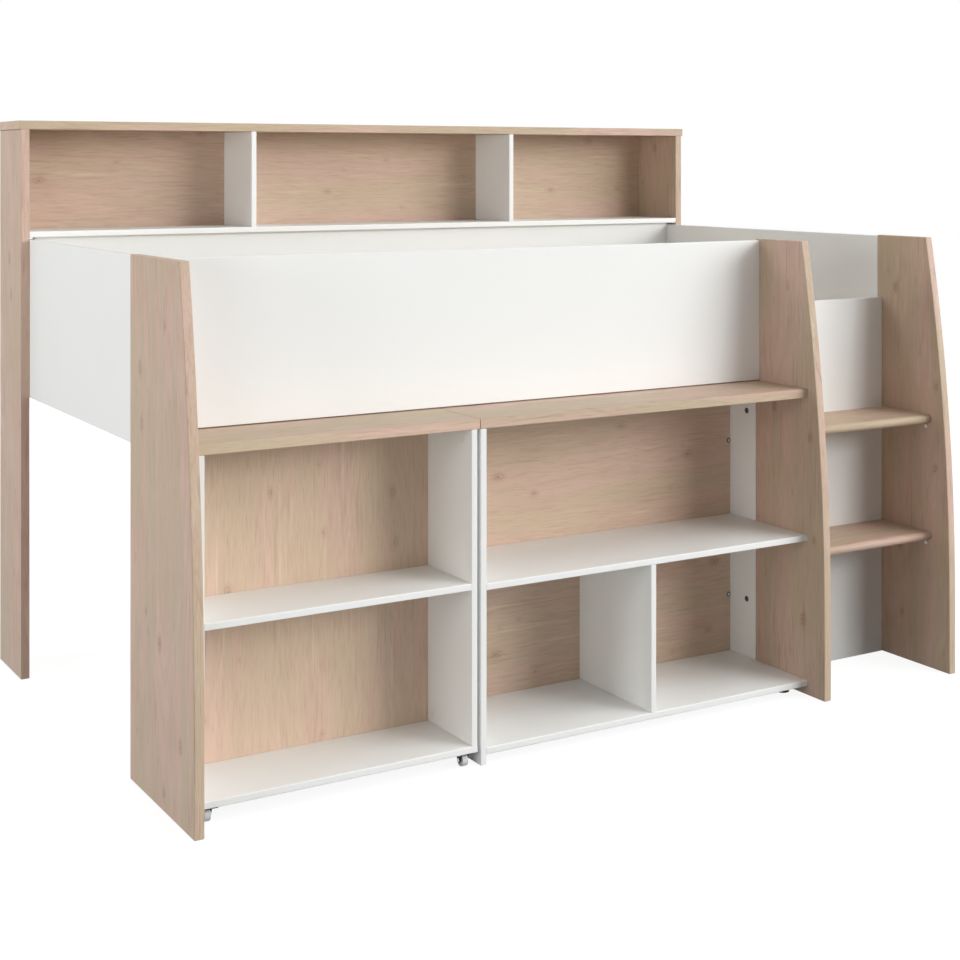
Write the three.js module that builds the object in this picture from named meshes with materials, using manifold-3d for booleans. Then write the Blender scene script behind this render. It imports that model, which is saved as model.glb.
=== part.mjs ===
// Mid sleeper bed in board material: a raised single bed with three curved uprights, a ladder,
// a long shelf along the back, a fixed bookcase and a desk unit that rolls out on castors.
// Millimetres. X runs along the bed, Y from its front to its back, Z up from the floor.
// Inside the file, X starts at the outer face of the left upright and Y at the foot of the uprights.

import * as THREE from "three";
import { mergeVertices } from "three/addons/utils/BufferGeometryUtils.js";
import Module from "manifold-3d";

// Driving dimensions of the whole bed
const BED_LENGTH = 2050; // over the uprights
const BED_DEPTH = 1364; // foot of the uprights to the back of the shelf
const SHELF_TOP_HEIGHT = 1410; // floor to the upper face of the top board

// Board thicknesses
const THICK_BOARD = 22; // wood decor boards
const PANEL_BOARD = 18; // white bed panels
const THIN_BOARD = 15; // white shelves and sides
const BACKING_BOARD = 3; // hardboard behind the long shelf
const EDGE_ROUND = 1; // broken edge of the wood decor boards
const WHITE_EDGE_ROUND = 2; // softer edge of the white boards
const UPRIGHT_EDGE_ROUND = 2.4; // softest edge, on the uprights

// Uprights
const UPRIGHT_HEIGHT = 1110;
const LEFT_UPRIGHT_DEPTH = 375;
const UPRIGHT_DEPTH = 256;
const CURVE_START_HEIGHT = 200;
const CURVE_SETBACK = 82; // how far the top of the front edge lies behind its foot
const CURVE_STEPS = 12; // along the uprights, and round the nose of a step

// Ladder
const LADDER_WIDTH = 400; // clear width between the middle and the right upright
const RISER_HEIGHT = 944;
const LOWER_STEP_HEIGHT = 352;
const UPPER_STEP_HEIGHT = 653;
const STEP_FRONT = 60; // set back from the foot of the uprights

// Bed panels
const GUARD_BOTTOM = 752;
const GUARD_TOP = 1106;
const END_PANEL_BOTTOM = 709; // of the end panels and the back rail
const END_PANEL_GAP = 6; // between the end panels and the board of the long shelf above them
const RAIL_SETBACK = 21; // front face of the back rail behind the front of the back posts

// Slatted base
const SLAT_COUNT = 13;
const SLAT_WIDTH = 75;
const SLAT_THICKNESS = 18;
const SLAT_ROUND = 4;
const SLAT_END_CLEARANCE = 2;
const LEDGE_HEIGHT = 30;
const LEDGE_WIDTH = 22;
const LEDGE_RISE = 6; // ledge above the lower edge of the guard

// Long back shelf
const POST_DEPTH = 201;
const TOP_OVERHANG = 5;
const COMPARTMENT_FLOOR = 1129;
const DIVIDER_SPACING = 822; // between the middles of the two dividers

// Units under the bed
const UNIT_FRONT = 60; // set back from the foot of the uprights
const UNIT_CLEARANCE = 2; // between the rolling unit's top and what it rolls past
const UNIT_HEIGHT = GUARD_BOTTOM - UNIT_CLEARANCE;

// Bookcase
const BOOKCASE_INNER_DEPTH = 295;
const BOOKCASE_SHELF_TOP = 392;
const BOOKCASE_FLOOR_TOP = 37;
const DIVIDER_SHARE = 0.49; // place of the divider across the clear width
const GLIDE_RADIUS = 17;
const GLIDE_NECK_RADIUS = 8;
const GLIDE_RIM_HEIGHT = 5;
const GLIDE_FRONT_SETBACK = 56;
const GLIDE_SIDE_SETBACK = 32;
const GLIDE_ROUND = 2;

// Rolling desk unit
const DESK_WIDTH = 650;
const DESK_SIDE_INSET = 6; // sides within the ends of the top
const DESK_INNER_DEPTH = 194; // front of the shelves to the back panel, which stands inside the unit
const DESK_SHELF_TOP = 397;

// Castors
const WHEEL_RADIUS = 14;
const WHEEL_WIDTH = 14;
const WHEEL_HUB_RADIUS = 6;
const WHEEL_HUB_WIDTH = 15.4;
const WHEEL_DISH = 2.2; // depth of the dished sides
const WHEEL_RIM = 3;
const WHEEL_ROUND = 1.6;
const WHEEL_SEGMENTS = 24;
const AXLE_RADIUS = 2.5;
const AXLE_HEAD_RADIUS = 4.2;
const AXLE_HEAD_HEIGHT = 1.2;
const AXLE_SEGMENTS = 20;
const RUNNING_CLEARANCE = 0.3;
const BRACKET_PLATE = 2;
const BRACKET_CHEEK = 1.5;
const BRACKET_WIDTH = 44;
const BRACKET_DEPTH = 38;
const BRACKET_CORNER = 5;
const CHEEK_TOP_HALF_DEPTH = 13;
const CHEEK_FOOT_RADIUS = 6.5;
const SCREW_HOLE_RADIUS = 2;
const SCREW_INSET = 5.5;
const BRACKET_INSET = 3; // plate within the edges of the board it is screwed to
const WHEEL_HEADROOM = 1; // between the wheel and its plate
const ROUND_STEPS = 1; // per quarter turn of the smallest rounds
const PRESSED_STEPS = 4; // per quarter turn of the brackets' corners and holes
const JOIN_OVERRUN = 1; // how far pieces that are joined into one reach into each other
const WELD_DISTANCE = 0.0001; // vertices closer than this are one

// Places that follow from the sizes above
const MIDDLE_UPRIGHT_LEFT = BED_LENGTH - THICK_BOARD - LADDER_WIDTH - THICK_BOARD;
const LADDER_LEFT = MIDDLE_UPRIGHT_LEFT + THICK_BOARD;
const LADDER_RIGHT = LADDER_LEFT + LADDER_WIDTH;
const GUARD_FRONT = UPRIGHT_DEPTH - PANEL_BOARD;
const INNER_LEFT = THICK_BOARD;
const INNER_RIGHT = BED_LENGTH - THICK_BOARD;
const POST_FRONT = BED_DEPTH - POST_DEPTH;
const RAIL_FRONT = POST_FRONT + RAIL_SETBACK;
const PANEL_REAR = RAIL_FRONT + PANEL_BOARD;
const COMPARTMENT_UNDERSIDE = COMPARTMENT_FLOOR - THIN_BOARD;
const END_PANEL_TOP = COMPARTMENT_UNDERSIDE - END_PANEL_GAP;
const LEFT_POST_INNER = INNER_LEFT - PANEL_BOARD;
const RIGHT_POST_INNER = INNER_RIGHT + PANEL_BOARD;
const TOP_UNDERSIDE = SHELF_TOP_HEIGHT - THICK_BOARD;
const UNIT_TOP_UNDERSIDE = UNIT_HEIGHT - THICK_BOARD;
const DESK_LEFT = INNER_LEFT + UNIT_CLEARANCE;
const DESK_RIGHT = DESK_LEFT + DESK_WIDTH;
const BOOKCASE_LEFT = DESK_RIGHT + UNIT_CLEARANCE;
const BOOKCASE_BACK_FRONT = UNIT_FRONT + BOOKCASE_INNER_DEPTH;
const BOOKCASE_REAR = BOOKCASE_BACK_FRONT + THIN_BOARD;
const DESK_BACK_FRONT = UNIT_FRONT + DESK_INNER_DEPTH;
const DESK_REAR = BOOKCASE_REAR;
const DESK_UNDERSIDE = WHEEL_RADIUS * 2 + WHEEL_HEADROOM + BRACKET_PLATE;
const DESK_FLOOR_TOP = DESK_UNDERSIDE + THIN_BOARD;
const CASTOR_SIDE_SETBACK = BRACKET_INSET + BRACKET_WIDTH / 2;
const CASTOR_END_SETBACK = BRACKET_INSET + BRACKET_DEPTH / 2;

// Materials
const woodDecor = new THREE.MeshStandardMaterial({ color: 0xc9b09a, roughness: 0.55, metalness: 0 });
const whiteMelamine = new THREE.MeshStandardMaterial({ color: 0xf0efee, roughness: 0.45, metalness: 0 });
const pine = new THREE.MeshStandardMaterial({ color: 0xdcc08f, roughness: 0.7, metalness: 0 });
const hardboard = new THREE.MeshStandardMaterial({ color: 0xcdb39a, roughness: 0.6, metalness: 0 });
const blackSteel = new THREE.MeshStandardMaterial({ color: 0x1d1d1e, roughness: 0.45, metalness: 0.6 });
const zincSteel = new THREE.MeshStandardMaterial({ color: 0xb9bcc0, roughness: 0.35, metalness: 1 });
const greyNylon = new THREE.MeshStandardMaterial({ color: 0xb9bfbd, roughness: 0.5, metalness: 0 });
const blackPlastic = new THREE.MeshStandardMaterial({ color: 0x161616, roughness: 0.5, metalness: 0 });

const wasm = await Module();
wasm.setup();

// Turns a closed geometry into a solid that can be joined and cut.
function toSolid(geometry) {
  const bare = geometry.clone();
  bare.deleteAttribute("normal");
  bare.deleteAttribute("uv");
  const merged = mergeVertices(bare, WELD_DISTANCE);
  const mesh = new wasm.Mesh({
    numProp: 3,
    vertProperties: merged.attributes.position.array,
    triVerts: new Uint32Array(merged.index.array),
  });
  return new wasm.Manifold(mesh);
}

// Turns a solid back into a geometry.
function toGeometry(solid) {
  const mesh = solid.getMesh();
  const geometry = new THREE.BufferGeometry();
  geometry.setAttribute("position", new THREE.BufferAttribute(mesh.vertProperties, mesh.numProp));
  geometry.setIndex(new THREE.BufferAttribute(mesh.triVerts, 1));
  geometry.computeVertexNormals();
  return geometry;
}

function addMesh(group, name, geometry, material) {
  const mesh = new THREE.Mesh(geometry, material);
  mesh.name = name;
  group.add(mesh);
  return mesh;
}

// A flat rectangle from its low corner to its high corner.
function rectangle(lowU, highU, lowV, highV) {
  const outline = new THREE.Shape();
  outline.moveTo(lowU, lowV);
  outline.lineTo(highU, lowV);
  outline.lineTo(highU, highV);
  outline.lineTo(lowU, highV);
  outline.closePath();
  return outline;
}

// A board sawn to an outline, with its edges broken by a small round all the way about.
function sawnBoard(outline, thickness, round) {
  const broken = Math.min(round, thickness / 3);
  const geometry = new THREE.ExtrudeGeometry(outline, {
    depth: thickness - broken * 2,
    bevelEnabled: true,
    bevelThickness: broken,
    bevelSize: broken,
    bevelOffset: -broken,
    bevelSegments: round > EDGE_ROUND ? 3 : 1,
    curveSegments: CURVE_STEPS,
  });
  geometry.translate(0, 0, broken);
  return geometry;
}

// Turns the sawn board's own axes: its outline lies in YZ and its thickness runs along X.
const STANDING_ACROSS = new THREE.Matrix4().makeBasis(
  new THREE.Vector3(0, 1, 0),
  new THREE.Vector3(0, 0, 1),
  new THREE.Vector3(1, 0, 0),
);
// The outline lies in XZ and the thickness runs along Y.
const STANDING_ALONG = new THREE.Matrix4().makeBasis(
  new THREE.Vector3(0, 0, 1),
  new THREE.Vector3(1, 0, 0),
  new THREE.Vector3(0, 1, 0),
);

// White boards have the softer edge.
function edgeRound(material) {
  return material === whiteMelamine ? WHITE_EDGE_ROUND : EDGE_ROUND;
}

// A board standing across the bed, like an upright: outline in depth and height.
function acrossBoard(group, name, left, thickness, outline, material, round = edgeRound(material)) {
  const geometry = sawnBoard(outline, thickness, round);
  geometry.applyMatrix4(STANDING_ACROSS);
  const mesh = addMesh(group, name, geometry, material);
  mesh.position.x = left;
  return mesh;
}

// A board standing along the bed, like the guard: outline in height and length.
function alongBoard(group, name, front, thickness, outline, material, round = edgeRound(material)) {
  const geometry = sawnBoard(outline, thickness, round);
  geometry.applyMatrix4(STANDING_ALONG);
  const mesh = addMesh(group, name, geometry, material);
  mesh.position.y = front;
  return mesh;
}

// A board lying flat, like a shelf: outline in length and depth.
function flatBoard(group, name, underside, thickness, outline, material, round = edgeRound(material)) {
  const mesh = addMesh(group, name, sawnBoard(outline, thickness, round), material);
  mesh.position.z = underside;
  return mesh;
}

// Front edge of an upright: plumb to the start of the curve, then an arc that leans back.
function uprightOutline(depth) {
  const rise = UPRIGHT_HEIGHT - CURVE_START_HEIGHT;
  const radius = (rise * rise + CURVE_SETBACK * CURVE_SETBACK) / (2 * CURVE_SETBACK);
  const sweep = Math.asin(rise / radius);
  const outline = new THREE.Shape();
  outline.moveTo(0, 0);
  outline.lineTo(depth, 0);
  outline.lineTo(depth, UPRIGHT_HEIGHT);
  outline.lineTo(CURVE_SETBACK, UPRIGHT_HEIGHT);
  outline.absarc(radius, CURVE_START_HEIGHT, radius, Math.PI - sweep, Math.PI, false);
  outline.closePath();
  return outline;
}

// Section of a step in depth and height, with a half-round front.
function stepSection(top) {
  const nose = THICK_BOARD / 2;
  const outline = new THREE.Shape();
  outline.moveTo(GUARD_FRONT, top - THICK_BOARD);
  outline.lineTo(GUARD_FRONT, top);
  outline.lineTo(STEP_FRONT + nose, top);
  outline.absarc(STEP_FRONT + nose, top - nose, nose, Math.PI / 2, Math.PI * 1.5, false);
  outline.closePath();
  return outline;
}

function buildUprights(group) {
  const left = uprightOutline(LEFT_UPRIGHT_DEPTH);
  const other = uprightOutline(UPRIGHT_DEPTH);
  const rightStart = BED_LENGTH - THICK_BOARD;
  acrossBoard(group, "left_upright", 0, THICK_BOARD, left, woodDecor, UPRIGHT_EDGE_ROUND);
  acrossBoard(group, "middle_upright", MIDDLE_UPRIGHT_LEFT, THICK_BOARD, other, woodDecor, UPRIGHT_EDGE_ROUND);
  acrossBoard(group, "right_upright", rightStart, THICK_BOARD, other, woodDecor, UPRIGHT_EDGE_ROUND);
}

function buildBedPanels(group) {
  const leftEnd = rectangle(LEFT_UPRIGHT_DEPTH, PANEL_REAR, END_PANEL_BOTTOM, END_PANEL_TOP);
  const rightEnd = rectangle(UPRIGHT_DEPTH, PANEL_REAR, END_PANEL_BOTTOM, END_PANEL_TOP);
  const guard = rectangle(GUARD_BOTTOM, GUARD_TOP, INNER_LEFT, MIDDLE_UPRIGHT_LEFT);
  const rail = rectangle(END_PANEL_BOTTOM, COMPARTMENT_UNDERSIDE, INNER_LEFT, INNER_RIGHT);
  acrossBoard(group, "left_end_panel", LEFT_POST_INNER, PANEL_BOARD, leftEnd, whiteMelamine);
  acrossBoard(group, "right_end_panel", INNER_RIGHT, PANEL_BOARD, rightEnd, whiteMelamine);
  alongBoard(group, "front_guard", GUARD_FRONT, PANEL_BOARD, guard, whiteMelamine);
  alongBoard(group, "back_rail", RAIL_FRONT, PANEL_BOARD, rail, whiteMelamine);
}

function buildLadder(group) {
  const riser = rectangle(0, RISER_HEIGHT, LADDER_LEFT, LADDER_RIGHT);
  alongBoard(group, "ladder_riser", GUARD_FRONT, PANEL_BOARD, riser, whiteMelamine);
  for (const [place, top] of [["lower", LOWER_STEP_HEIGHT], ["upper", UPPER_STEP_HEIGHT]]) {
    const section = stepSection(top);
    acrossBoard(group, `ladder_step_${place}`, LADDER_LEFT, LADDER_WIDTH, section, woodDecor);
  }
}

// A slat with its long upper edges rounded: its section is drawn and run across the bed.
function slatGeometry(length) {
  const half = SLAT_WIDTH / 2;
  const section = new THREE.Shape();
  section.moveTo(-half, 0);
  section.lineTo(half, 0);
  section.lineTo(half, SLAT_THICKNESS - SLAT_ROUND);
  section.absarc(half - SLAT_ROUND, SLAT_THICKNESS - SLAT_ROUND, SLAT_ROUND, 0, Math.PI / 2, false);
  section.lineTo(SLAT_ROUND - half, SLAT_THICKNESS);
  section.absarc(SLAT_ROUND - half, SLAT_THICKNESS - SLAT_ROUND, SLAT_ROUND, Math.PI / 2, Math.PI, false);
  section.closePath();
  const geometry = new THREE.ExtrudeGeometry(section, {
    depth: length,
    bevelEnabled: false,
    curveSegments: ROUND_STEPS,
  });
  geometry.rotateX(Math.PI / 2);
  geometry.translate(0, length, 0);
  return geometry;
}

function buildSlattedBase(group) {
  const ledgeBottom = GUARD_BOTTOM + LEDGE_RISE;
  const ledgeTop = ledgeBottom + LEDGE_HEIGHT;
  const ledge = rectangle(ledgeBottom, ledgeTop, INNER_LEFT, INNER_RIGHT);
  alongBoard(group, "slat_ledge_front", UPRIGHT_DEPTH, LEDGE_WIDTH, ledge, pine);
  alongBoard(group, "slat_ledge_back", RAIL_FRONT - LEDGE_WIDTH, LEDGE_WIDTH, ledge, pine);
  const slat = slatGeometry(RAIL_FRONT - UPRIGHT_DEPTH - SLAT_END_CLEARANCE * 2);
  const gap = (INNER_RIGHT - INNER_LEFT - SLAT_COUNT * SLAT_WIDTH) / (SLAT_COUNT + 1);
  for (let index = 0; index < SLAT_COUNT; index += 1) {
    const number = String(index + 1).padStart(2, "0");
    const mesh = addMesh(group, `slat_${number}`, slat, pine);
    const middle = INNER_LEFT + gap + SLAT_WIDTH / 2 + index * (gap + SLAT_WIDTH);
    mesh.position.set(middle, UPRIGHT_DEPTH + SLAT_END_CLEARANCE, ledgeTop);
  }
}

function buildBackShelf(group) {
  const post = rectangle(POST_FRONT, BED_DEPTH, 0, TOP_UNDERSIDE);
  const leftPost = LEFT_POST_INNER - THICK_BOARD;
  acrossBoard(group, "left_back_post", leftPost, THICK_BOARD, post, woodDecor);
  acrossBoard(group, "right_back_post", RIGHT_POST_INNER, THICK_BOARD, post, woodDecor);

  const topLeft = leftPost - TOP_OVERHANG;
  const topRight = RIGHT_POST_INNER + THICK_BOARD + TOP_OVERHANG;
  const top = rectangle(topLeft, topRight, POST_FRONT, BED_DEPTH);
  flatBoard(group, "back_shelf_top", TOP_UNDERSIDE, THICK_BOARD, top, woodDecor);

  const backingFront = BED_DEPTH - BACKING_BOARD;
  const floor = rectangle(LEFT_POST_INNER, RIGHT_POST_INNER, POST_FRONT, backingFront);
  flatBoard(group, "back_shelf_bottom", COMPARTMENT_UNDERSIDE, THIN_BOARD, floor, whiteMelamine);

  const backing = rectangle(COMPARTMENT_UNDERSIDE, TOP_UNDERSIDE, LEFT_POST_INNER, RIGHT_POST_INNER);
  alongBoard(group, "back_shelf_panel", backingFront, BACKING_BOARD, backing, hardboard);

  const divider = rectangle(POST_FRONT, backingFront, COMPARTMENT_FLOOR, TOP_UNDERSIDE);
  const middle = BED_LENGTH / 2 - THIN_BOARD / 2;
  const offset = DIVIDER_SPACING / 2;
  acrossBoard(group, "back_shelf_divider_left", middle - offset, THIN_BOARD, divider, whiteMelamine);
  acrossBoard(group, "back_shelf_divider_right", middle + offset, THIN_BOARD, divider, whiteMelamine);
}

// A round glide: a rim that stands on the floor and a neck up to the board it carries.
function glideGeometry(height) {
  const profile = new THREE.Path();
  profile.moveTo(0, 0);
  profile.lineTo(GLIDE_RADIUS - GLIDE_ROUND, 0);
  profile.absarc(GLIDE_RADIUS - GLIDE_ROUND, GLIDE_ROUND, GLIDE_ROUND, -Math.PI / 2, 0, false);
  profile.lineTo(GLIDE_RADIUS, GLIDE_RIM_HEIGHT);
  profile.lineTo(GLIDE_NECK_RADIUS, GLIDE_RIM_HEIGHT + GLIDE_ROUND);
  profile.lineTo(GLIDE_NECK_RADIUS, height);
  profile.lineTo(0, height);
  const geometry = new THREE.LatheGeometry(profile.getPoints(ROUND_STEPS), WHEEL_SEGMENTS);
  geometry.rotateX(Math.PI / 2);
  return geometry;
}

function buildBookcase(group) {
  const innerLeft = BOOKCASE_LEFT + THIN_BOARD;
  const innerRight = MIDDLE_UPRIGHT_LEFT;
  const floorUnderside = BOOKCASE_FLOOR_TOP - THIN_BOARD;
  const side = rectangle(UNIT_FRONT, BOOKCASE_REAR, 0, UNIT_TOP_UNDERSIDE);
  acrossBoard(group, "bookcase_side", BOOKCASE_LEFT, THIN_BOARD, side, whiteMelamine);

  const strip = rectangle(UPRIGHT_DEPTH, BOOKCASE_REAR, 0, UNIT_TOP_UNDERSIDE);
  acrossBoard(group, "bookcase_strip", MIDDLE_UPRIGHT_LEFT, THIN_BOARD, strip, whiteMelamine);

  const top = rectangle(BOOKCASE_LEFT, innerRight, UNIT_FRONT, BOOKCASE_REAR);
  flatBoard(group, "bookcase_top", UNIT_TOP_UNDERSIDE, THICK_BOARD, top, woodDecor);

  const shelf = rectangle(innerLeft, innerRight, UNIT_FRONT, BOOKCASE_BACK_FRONT);
  flatBoard(group, "bookcase_shelf", BOOKCASE_SHELF_TOP - THIN_BOARD, THIN_BOARD, shelf, whiteMelamine);
  flatBoard(group, "bookcase_bottom", floorUnderside, THIN_BOARD, shelf, whiteMelamine);

  const dividerMiddle = innerLeft + (innerRight - innerLeft) * DIVIDER_SHARE;
  const dividerTop = BOOKCASE_SHELF_TOP - THIN_BOARD;
  const divider = rectangle(UNIT_FRONT, BOOKCASE_BACK_FRONT, BOOKCASE_FLOOR_TOP, dividerTop);
  const dividerLeft = dividerMiddle - THIN_BOARD / 2;
  acrossBoard(group, "bookcase_divider", dividerLeft, THIN_BOARD, divider, whiteMelamine);

  const back = rectangle(floorUnderside, UNIT_TOP_UNDERSIDE, innerLeft, innerRight);
  alongBoard(group, "bookcase_back", BOOKCASE_BACK_FRONT, THIN_BOARD, back, woodDecor);

  const glide = glideGeometry(floorUnderside);
  const glideX = innerRight - GLIDE_SIDE_SETBACK;
  const front = addMesh(group, "bookcase_glide_front", glide, blackPlastic);
  const rear = addMesh(group, "bookcase_glide_rear", glide, blackPlastic);
  front.position.set(glideX, UNIT_FRONT + GLIDE_FRONT_SETBACK, 0);
  rear.position.set(glideX, BOOKCASE_BACK_FRONT - GLIDE_FRONT_SETBACK, 0);
}

function buildDeskUnit(group) {
  const sideLeft = DESK_LEFT + DESK_SIDE_INSET;
  const sideRight = DESK_RIGHT - DESK_SIDE_INSET;
  const innerLeft = sideLeft + THIN_BOARD;
  const innerRight = sideRight - THIN_BOARD;

  const top = rectangle(DESK_LEFT, DESK_RIGHT, UNIT_FRONT, DESK_REAR);
  flatBoard(group, "desk_top", UNIT_TOP_UNDERSIDE, THICK_BOARD, top, woodDecor);

  const side = rectangle(UNIT_FRONT, DESK_REAR, DESK_FLOOR_TOP, UNIT_TOP_UNDERSIDE);
  acrossBoard(group, "desk_side_left", sideLeft, THIN_BOARD, side, whiteMelamine);
  acrossBoard(group, "desk_side_right", innerRight, THIN_BOARD, side, whiteMelamine);

  const shelf = rectangle(innerLeft, innerRight, UNIT_FRONT, DESK_BACK_FRONT);
  flatBoard(group, "desk_shelf", DESK_SHELF_TOP - THIN_BOARD, THIN_BOARD, shelf, whiteMelamine);

  const floor = rectangle(sideLeft, sideRight, UNIT_FRONT, DESK_REAR);
  flatBoard(group, "desk_bottom", DESK_UNDERSIDE, THIN_BOARD, floor, whiteMelamine);

  const back = rectangle(DESK_FLOOR_TOP, UNIT_TOP_UNDERSIDE, innerLeft, innerRight);
  alongBoard(group, "desk_back", DESK_BACK_FRONT, THIN_BOARD, back, woodDecor);

  const wheelX = [sideLeft + CASTOR_SIDE_SETBACK, sideRight - CASTOR_SIDE_SETBACK];
  const wheelY = [UNIT_FRONT + CASTOR_END_SETBACK, DESK_REAR - CASTOR_END_SETBACK];
  const places = [
    ["front_left", wheelX[0], wheelY[0]],
    ["front_right", wheelX[1], wheelY[0]],
    ["rear_left", wheelX[0], wheelY[1]],
    ["rear_right", wheelX[1], wheelY[1]],
  ];
  const bracket = castorBracket(DESK_UNDERSIDE);
  const axle = castorAxle();
  const wheel = castorWheel();
  for (const [place, x, y] of places) {
    const castor = new THREE.Group();
    castor.position.set(x, y, WHEEL_RADIUS);
    addMesh(castor, `castor_bracket_${place}`, bracket, blackSteel);
    addMesh(castor, `castor_axle_${place}`, axle, zincSteel);
    addMesh(castor, `castor_wheel_${place}`, wheel, greyNylon);
    group.add(castor);
  }
}

// Half the clear width between the cheeks of a castor bracket.
const CHEEK_INNER = WHEEL_HUB_WIDTH / 2 + RUNNING_CLEARANCE;

// Castor wheel about the X axis: a rounded tread, dished sides, a proud hub and a bore.
function castorWheel() {
  const bore = AXLE_RADIUS + RUNNING_CLEARANCE;
  const halfTread = WHEEL_WIDTH / 2;
  const halfHub = WHEEL_HUB_WIDTH / 2;
  const halfWeb = halfTread - WHEEL_DISH;
  const rimInner = WHEEL_RADIUS - WHEEL_RIM;
  const shoulder = WHEEL_RADIUS - WHEEL_ROUND;
  const profile = new THREE.Path();
  profile.moveTo(bore, -halfHub);
  profile.lineTo(WHEEL_HUB_RADIUS, -halfHub);
  profile.lineTo(WHEEL_HUB_RADIUS, -halfWeb);
  profile.lineTo(rimInner, -halfWeb);
  profile.lineTo(rimInner, -halfTread);
  profile.lineTo(shoulder, -halfTread);
  profile.absarc(shoulder, WHEEL_ROUND - halfTread, WHEEL_ROUND, -Math.PI / 2, 0, false);
  profile.lineTo(WHEEL_RADIUS, halfTread - WHEEL_ROUND);
  profile.absarc(shoulder, halfTread - WHEEL_ROUND, WHEEL_ROUND, 0, Math.PI / 2, false);
  profile.lineTo(rimInner, halfTread);
  profile.lineTo(rimInner, halfWeb);
  profile.lineTo(WHEEL_HUB_RADIUS, halfWeb);
  profile.lineTo(WHEEL_HUB_RADIUS, halfHub);
  profile.lineTo(bore, halfHub);
  profile.lineTo(bore, -halfHub);
  const geometry = new THREE.LatheGeometry(profile.getPoints(ROUND_STEPS), WHEEL_SEGMENTS);
  geometry.rotateZ(-Math.PI / 2);
  return geometry;
}

// Axle pin with two flat heads, riveted over outside the cheeks.
function castorAxle() {
  const shank = CHEEK_INNER + BRACKET_CHEEK + RUNNING_CLEARANCE;
  const end = shank + AXLE_HEAD_HEIGHT;
  const profile = new THREE.Path();
  profile.moveTo(0, -end);
  profile.lineTo(AXLE_HEAD_RADIUS, -end);
  profile.lineTo(AXLE_HEAD_RADIUS, -shank);
  profile.lineTo(AXLE_RADIUS, -shank);
  profile.lineTo(AXLE_RADIUS, shank);
  profile.lineTo(AXLE_HEAD_RADIUS, shank);
  profile.lineTo(AXLE_HEAD_RADIUS, end);
  profile.lineTo(0, end);
  const geometry = new THREE.LatheGeometry(profile.getPoints(), AXLE_SEGMENTS);
  geometry.rotateZ(-Math.PI / 2);
  return geometry;
}

// Cheek outline about the axle: wide under the plate, tapering to a round foot.
function cheekOutline(plateUnderside) {
  const outline = new THREE.Shape();
  outline.moveTo(-CHEEK_TOP_HALF_DEPTH, plateUnderside);
  outline.lineTo(-CHEEK_FOOT_RADIUS, 0);
  outline.absarc(0, 0, CHEEK_FOOT_RADIUS, Math.PI, Math.PI * 2, false);
  outline.lineTo(CHEEK_TOP_HALF_DEPTH, plateUnderside);
  outline.closePath();
  const hole = new THREE.Path();
  hole.absarc(0, 0, AXLE_RADIUS + RUNNING_CLEARANCE, 0, Math.PI * 2, true);
  outline.holes.push(hole);
  return outline;
}

function bracketPlateOutline() {
  const halfWidth = BRACKET_WIDTH / 2;
  const halfDepth = BRACKET_DEPTH / 2;
  const u = halfWidth - BRACKET_CORNER;
  const v = halfDepth - BRACKET_CORNER;
  const outline = new THREE.Shape();
  outline.absarc(u, v, BRACKET_CORNER, 0, Math.PI / 2, false);
  outline.absarc(-u, v, BRACKET_CORNER, Math.PI / 2, Math.PI, false);
  outline.absarc(-u, -v, BRACKET_CORNER, Math.PI, Math.PI * 1.5, false);
  outline.absarc(u, -v, BRACKET_CORNER, Math.PI * 1.5, Math.PI * 2, false);
  outline.closePath();
  for (const [signU, signV] of [[1, 1], [-1, 1], [-1, -1], [1, -1]]) {
    const hole = new THREE.Path();
    const x = signU * (halfWidth - SCREW_INSET);
    const y = signV * (halfDepth - SCREW_INSET);
    hole.absarc(x, y, SCREW_HOLE_RADIUS, 0, Math.PI * 2, true);
    outline.holes.push(hole);
  }
  return outline;
}

// Pressed bracket: a screw plate under the board with two cheeks that hold the axle.
function castorBracket(boardUnderside) {
  const plateTop = boardUnderside - WHEEL_RADIUS;
  const plateUnderside = plateTop - BRACKET_PLATE;
  const plate = new THREE.ExtrudeGeometry(bracketPlateOutline(), {
    depth: BRACKET_PLATE,
    bevelEnabled: false,
    curveSegments: PRESSED_STEPS,
  });
  plate.translate(0, 0, plateUnderside);
  let bracket = toSolid(plate);
  for (const left of [-CHEEK_INNER - BRACKET_CHEEK, CHEEK_INNER]) {
    const cheek = new THREE.ExtrudeGeometry(cheekOutline(plateUnderside + JOIN_OVERRUN), {
      depth: BRACKET_CHEEK,
      bevelEnabled: false,
      curveSegments: PRESSED_STEPS,
    });
    cheek.applyMatrix4(STANDING_ACROSS);
    cheek.translate(left, 0, 0);
    bracket = bracket.add(toSolid(cheek));
  }
  return toGeometry(bracket);
}

const bed = new THREE.Group();
bed.position.set(-BED_LENGTH / 2, -BED_DEPTH / 2, 0);
buildUprights(bed);
buildBedPanels(bed);
buildLadder(bed);
buildSlattedBase(bed);
buildBackShelf(bed);
buildBookcase(bed);
buildDeskUnit(bed);

const part = new THREE.Group();
part.add(bed);

export default part;
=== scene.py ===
"""Looks of a mid sleeper bed: its finishes, its small fastenings and a plain studio round it."""

import logging
import math
from dataclasses import dataclass, field, replace
from enum import Enum
from itertools import product

import bmesh
import bpy
from mathutils import Matrix, Vector


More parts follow.
